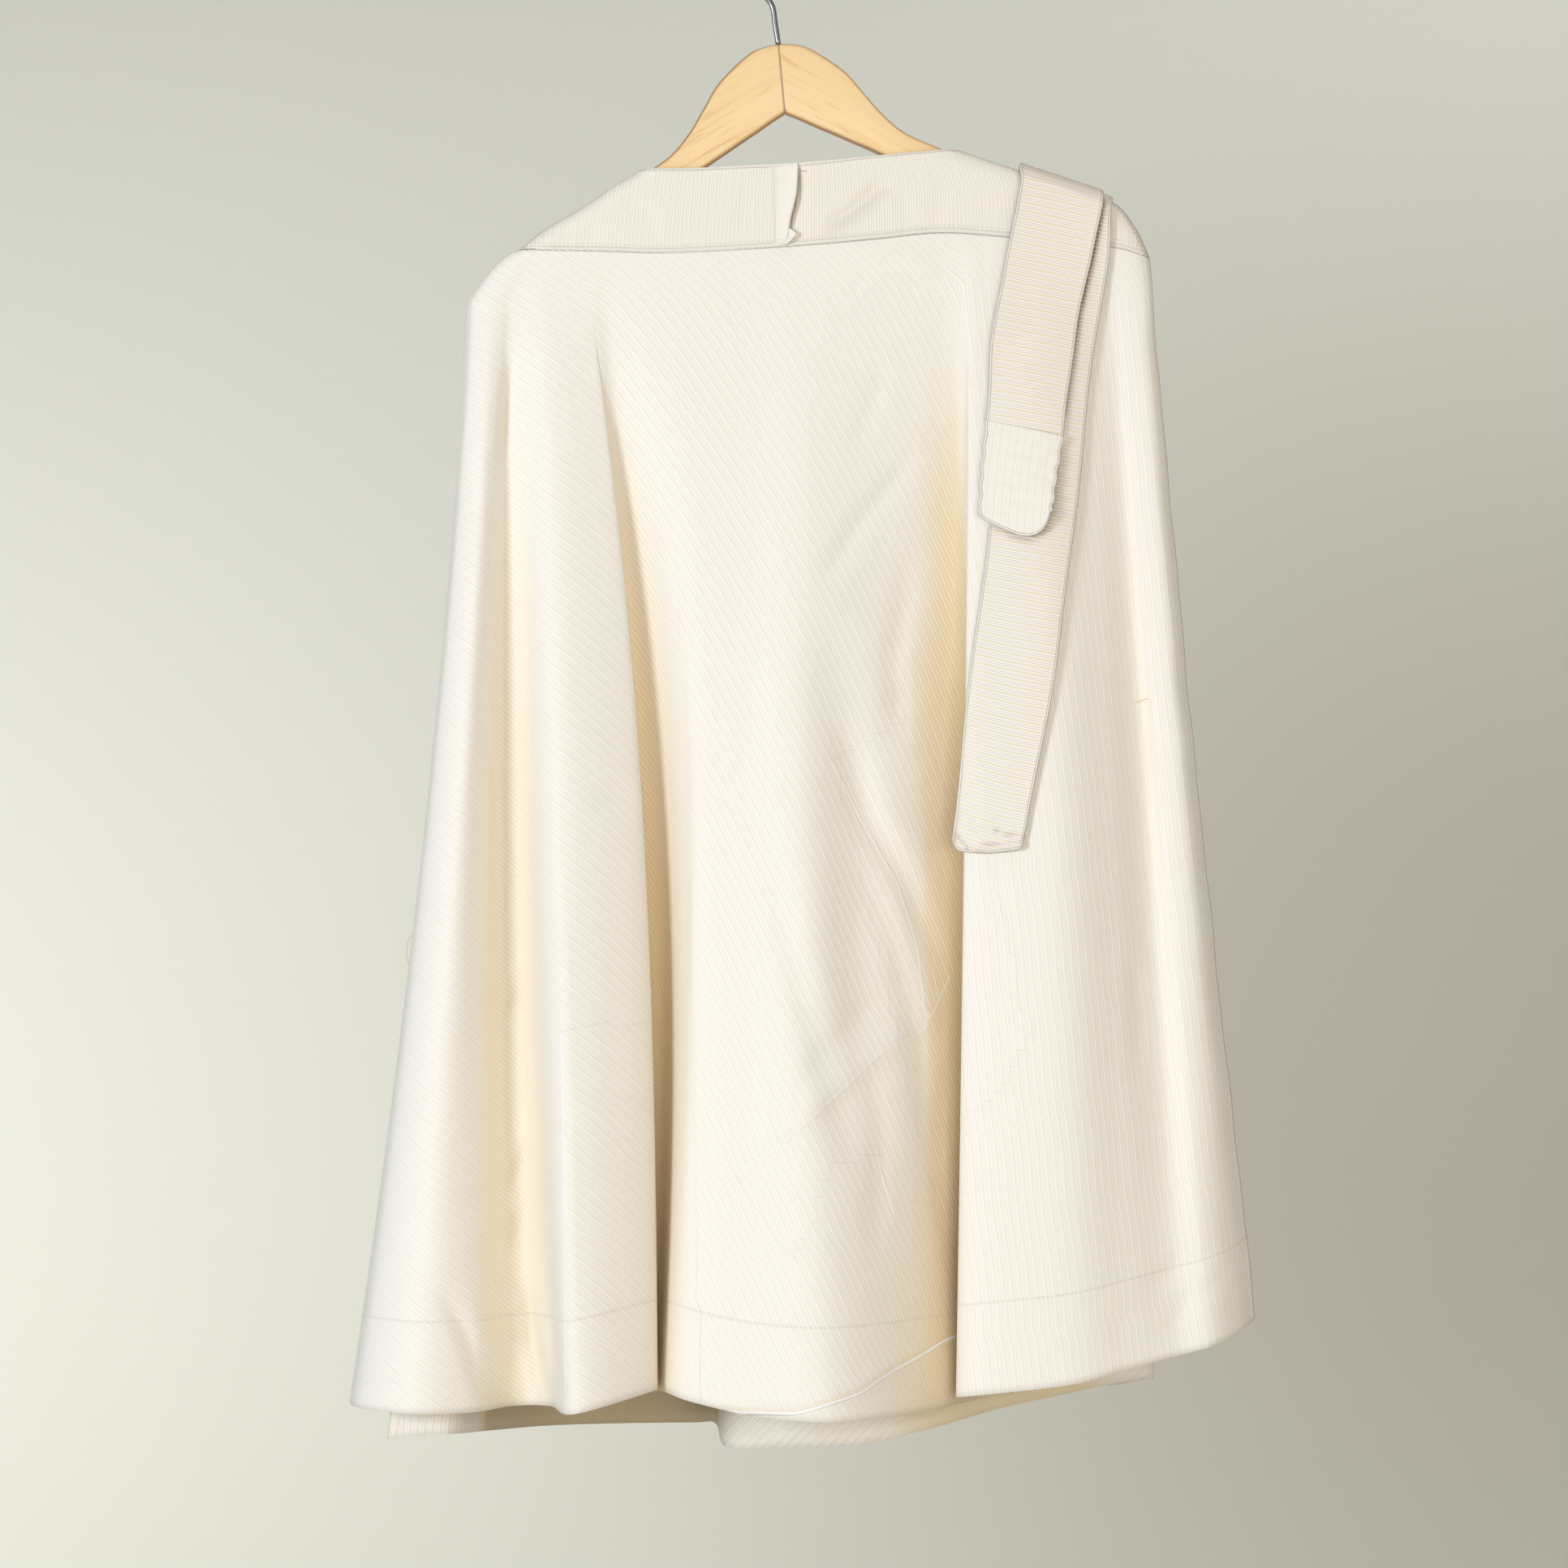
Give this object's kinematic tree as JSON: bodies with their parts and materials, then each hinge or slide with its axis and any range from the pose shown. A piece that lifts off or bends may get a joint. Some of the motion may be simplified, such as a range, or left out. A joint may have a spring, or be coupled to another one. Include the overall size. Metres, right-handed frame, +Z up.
{
  "type": "wrap skirt on wooden hanger",
  "caption": "Half-circle wrap skirt with a waistband and long ties, hanging in deep folds from a wooden hanger with a wire hook.",
  "frame": {"origin": "inside top of the hanger's hook, where it hangs on a rail", "axes": "+Z up, +X to the right seen from the front, front faces -Y"},
  "size_m": [0.5925, 0.2532, 0.9849],
  "materials": {
    "cloth": "woven ivory cotton with fine beige and grey stripes",
    "wood": "clear satin varnish",
    "wire": "plated steel wire"
  },
  "bodies": {
    "root": {"front_wrap": "cloth", "under_wrap": "cloth", "back_panel": "cloth", "band_front_left": "cloth", "band_front_right": "cloth", "band_back": "cloth", "band_under": "cloth", "tie_long": "cloth", "tie_short": "cloth", "tie_short_tip": "cloth", "hanger_left": "wood", "hanger_right": "wood", "hanger_hook": "wire"}
  },
  "joints": []
}
